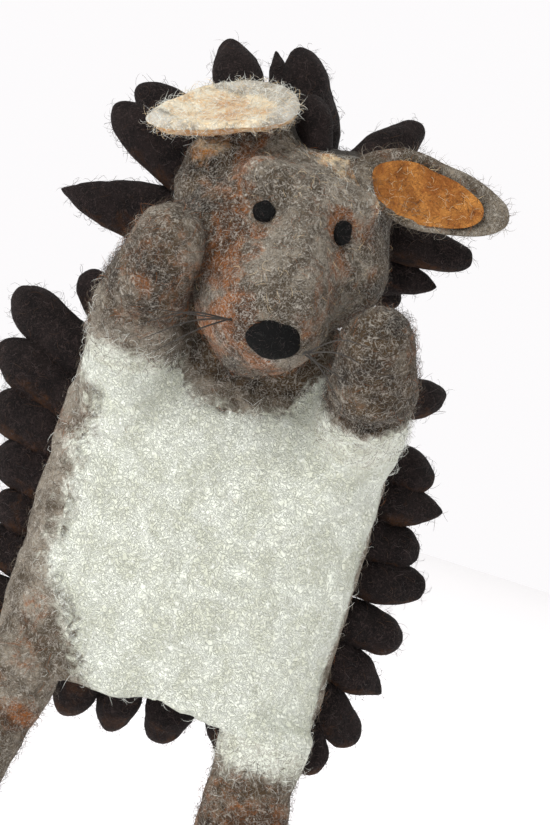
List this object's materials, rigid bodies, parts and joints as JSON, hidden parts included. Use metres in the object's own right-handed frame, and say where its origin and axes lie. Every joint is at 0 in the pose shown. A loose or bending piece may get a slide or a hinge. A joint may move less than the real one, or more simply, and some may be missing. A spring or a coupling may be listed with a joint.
{
  "type": "hedgehog hand puppet",
  "caption": "Felted wool hedgehog glove puppet: an open hem takes the hand, one finger moves the head and two move the arms; legs hang free.",
  "frame": {"origin": "middle of the hem opening, where the hand goes in", "axes": "+Z from the hem to the head, the face looks along -Y, +X is the puppet's own left"},
  "size_m": [0.2188, 0.1671, 0.4166],
  "materials": {
    "grey_wool": "wet-felted wool, warm grey, with a curly fuzz",
    "white_wool": "a layer of white wool felted on, fuzzy",
    "brown_wool": "wet-felted wool, olive brown",
    "dark_quill_wool": "soft dark brown-black wool fingers with a matt curly surface",
    "orange_wool": "thin layer of orange-brown wool",
    "cream_wool": "cream wool felt",
    "black_felt": "hard felted black wool",
    "bristle": "stiff waxed thread, satin"
  },
  "bodies": {
    "glove": {"front_panel": "grey_wool", "back_panel": "brown_wool", "belly_patch": "white_wool", "back_quill_row_1": "dark_quill_wool", "back_quill_row_2": "dark_quill_wool", "back_quill_row_3": "dark_quill_wool", "back_quill_row_4": "dark_quill_wool", "back_quill_row_5": "dark_quill_wool", "back_quill_row_6": "dark_quill_wool", "back_quill_row_7": "dark_quill_wool", "back_quill_row_8": "dark_quill_wool", "back_quill_row_9": "dark_quill_wool"},
    "neck": {"neck": "grey_wool"},
    "head": {"head": "grey_wool", "right_eye": "black_felt", "left_eye": "black_felt", "nose": "black_felt", "right_whiskers": "bristle", "left_whiskers": "bristle", "head_quill_ring_outer": "dark_quill_wool", "head_quill_ring_middle": "dark_quill_wool", "head_quill_ring_inner": "dark_quill_wool"},
    "right_ear": {"right_ear": "cream_wool", "right_ear_lining": "orange_wool"},
    "left_ear": {"left_ear": "grey_wool", "left_ear_lining": "orange_wool"},
    "right_arm": {"right_sleeve": "grey_wool"},
    "right_paw": {"right_paw": "brown_wool"},
    "left_arm": {"left_sleeve": "grey_wool"},
    "left_paw": {"left_paw": "brown_wool"},
    "right_leg": {"right_leg": "grey_wool", "right_foot": "brown_wool"},
    "left_leg": {"left_leg": "grey_wool", "left_foot": "brown_wool"}
  },
  "joints": [
    {"name": "neck_turn", "type": "hinge", "parent": "glove", "child": "neck", "pos_m": [0, 0.002, 0.15], "axis": [0, 0, 1], "range_deg": [-4, 4]},
    {"name": "head_nod", "type": "hinge", "parent": "neck", "child": "head", "pos_m": [0, 0.002, 0.176], "axis": [-1, 0, 0], "range_deg": [0, 22]},
    {"name": "right_shoulder", "type": "hinge", "parent": "glove", "child": "right_arm", "pos_m": [-0.054, -0.01, 0.142], "axis": [0, -0.6958, -0.7182], "range_deg": [0, 34]},
    {"name": "right_paw_bend", "type": "hinge", "parent": "right_arm", "child": "right_paw", "pos_m": [-0.054, -0.042, 0.173], "axis": [1, 0, 0], "range_deg": [0, 20]},
    {"name": "left_shoulder", "type": "hinge", "parent": "glove", "child": "left_arm", "pos_m": [0.054, -0.012, 0.14], "axis": [0, 0.4808, 0.8768], "range_deg": [0, 34]},
    {"name": "left_paw_bend", "type": "hinge", "parent": "left_arm", "child": "left_paw", "pos_m": [0.056, -0.043, 0.157], "axis": [1, 0, 0], "range_deg": [0, 20]},
    {"name": "right_hip", "type": "hinge", "parent": "glove", "child": "right_leg", "pos_m": [-0.0555, -0.014, -0.0115], "axis": [-1, 0, 0], "range_deg": [-25, 60]},
    {"name": "left_hip", "type": "hinge", "parent": "glove", "child": "left_leg", "pos_m": [0.0555, -0.014, -0.0115], "axis": [-1, 0, 0], "range_deg": [-25, 60]},
    {"name": "right_ear_flap", "type": "hinge", "parent": "head", "child": "right_ear", "pos_m": [-0.021, -0.023, 0.264], "axis": [-0.2589, 0.8992, 0.3528], "range_deg": [-6, 20], "stiffness_Nm_per_rad": 0.03},
    {"name": "left_ear_flap", "type": "hinge", "parent": "head", "child": "left_ear", "pos_m": [0.0372, -0.0175, 0.2496], "axis": [-0.06, 0, -0.9982], "range_deg": [-6, 22], "stiffness_Nm_per_rad": 0.03}
  ]
}
